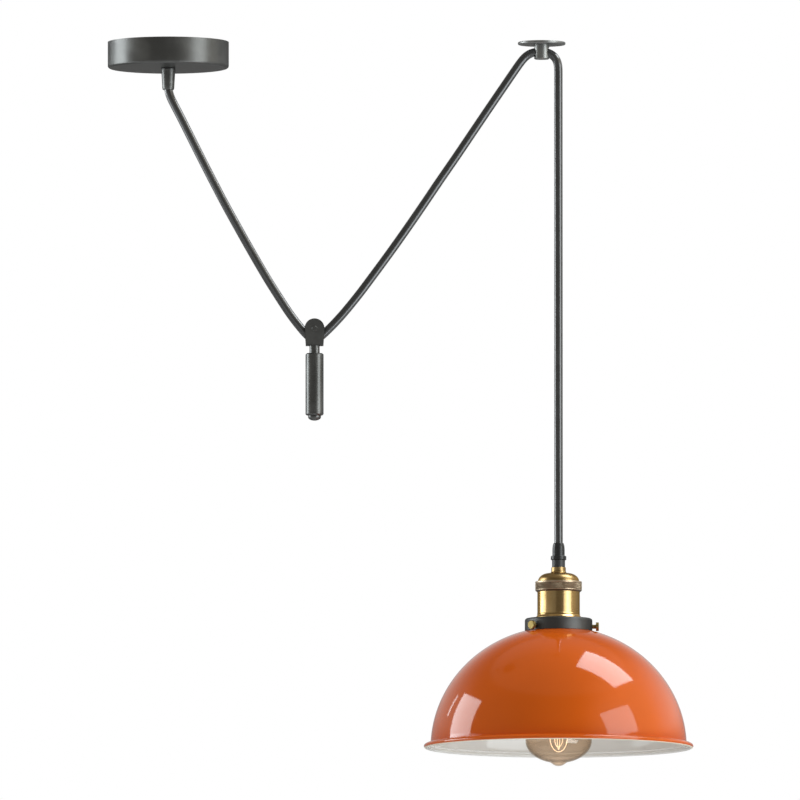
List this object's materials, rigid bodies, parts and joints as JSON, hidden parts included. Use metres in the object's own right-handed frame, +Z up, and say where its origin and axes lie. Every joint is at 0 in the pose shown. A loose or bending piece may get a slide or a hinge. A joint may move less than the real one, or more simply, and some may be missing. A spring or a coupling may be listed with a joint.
{
  "type": "rise and fall pendant",
  "caption": "Ceiling pendant whose enamelled dome shade rises and falls on a cable that runs from a round rose, under a counterweight's wheel and through a ceiling guide.",
  "frame": {"origin": "middle of the rose's face on the ceiling", "axes": "+Z up into the ceiling, +X along the ceiling from the rose to the guide, +Y away from the picture's camera"},
  "size_m": [0.5798, 0.2666, 0.7191],
  "materials": {
    "gunmetal": "satin dark grey, lightly grained",
    "gunmetal_screw": "dark plated",
    "black_metal": "semi-gloss black",
    "zinc": "zinc plated",
    "ivory_plastic": "matt",
    "black_nylon": "matt moulded",
    "black_moulding": "satin moulded",
    "flex": "smooth dark grey sheath, satin",
    "core_brown": "satin",
    "core_blue": "satin",
    "core_green": "satin",
    "antique_brass": "darkened and polished",
    "brass_small": "plain",
    "orange_enamel": "gloss enamel, off-white inside",
    "amber_glass": "amber tinted",
    "clear_glass": "clear",
    "lamp_cap": "pressed",
    "solder": "dull",
    "filament": "dimly lit wire"
  },
  "bodies": {
    "ceiling_set": {"ceiling_rose": "gunmetal", "mounting_strap": "zinc", "rose_side_screws": "gunmetal_screw", "terminal_block": "ivory_plastic", "terminal_screws": "brass_small", "rose_grip": "gunmetal", "rose_grip_nut": "zinc", "rose_grip_screw": "gunmetal_screw", "live_core": "core_brown", "neutral_core": "core_blue", "earth_core": "core_green", "earth_screw": "brass_small", "guide_flange": "gunmetal", "guide_boss": "gunmetal", "cable_left_run": "flex", "cable_right_run": "flex", "cable_fall": "flex"},
    "weight_set": {"pulley_fork": "gunmetal", "fork_axle": "gunmetal", "weight_neck": "gunmetal", "counterweight": "gunmetal", "tie_bolt": "zinc", "domed_nut": "gunmetal"},
    "wheel": {"pulley_wheel": "black_nylon"},
    "pendant": {"grip_cap": "black_moulding", "grip_base": "black_moulding", "holder_cap": "antique_brass", "knurled_ring": "antique_brass", "holder_body": "antique_brass", "socket_core": "black_moulding", "thread_shell": "brass_small", "centre_contact": "brass_small", "gallery": "black_metal", "gallery_nut": "black_moulding", "shade": "orange_enamel"},
    "screw_right": {"thumb_screw_1": "antique_brass"},
    "screw_front": {"thumb_screw_2": "antique_brass"},
    "screw_back": {"thumb_screw_3": "antique_brass"},
    "lamp": {"bulb_glass": "amber_glass", "bulb_cap": "lamp_cap", "bulb_contact": "solder", "bulb_stem": "clear_glass", "lead_wires": "lamp_cap", "filament": "filament"}
  },
  "joints": [
    {"name": "height_slide", "type": "slide", "parent": "ceiling_set", "child": "pendant", "axis": [0, 0, 1], "range_m": [-0.15, 0.3], "deforming": ["cable_fall"]},
    {"name": "weight_slide", "type": "slide", "parent": "ceiling_set", "child": "weight_set", "axis": [0, 0, 1], "range_m": [-0.19, 0.1], "deforming": ["cable_left_run", "cable_right_run"]},
    {"name": "wheel_spin", "type": "hinge", "parent": "weight_set", "child": "wheel", "pos_m": [0.145, 0, -0.285], "axis": [0, 1, 0], "range_deg": [-460, 910]},
    {"name": "screw_right_slide", "type": "slide", "parent": "pendant", "child": "screw_right", "axis": [0.9998, -0.0174, 0], "range_m": [0, 0.004]},
    {"name": "screw_front_slide", "type": "slide", "parent": "pendant", "child": "screw_front", "axis": [-0.6947, -0.7193, 0], "range_m": [0, 0.004]},
    {"name": "screw_back_slide", "type": "slide", "parent": "pendant", "child": "screw_back", "axis": [-0.4226, 0.9063, 0], "range_m": [0, 0.004]},
    {"name": "lamp_turn", "type": "hinge", "parent": "pendant", "child": "lamp", "pos_m": [0.3865, 0, -0.6], "axis": [0, 0, 1], "range_deg": [-1800, 0]}
  ],
  "couplings": [
    {"joint": "weight_slide", "follows": "height_slide", "ratio": -0.61},
    {"joint": "wheel_spin", "follows": "height_slide", "rad_per_m": 52}
  ]
}
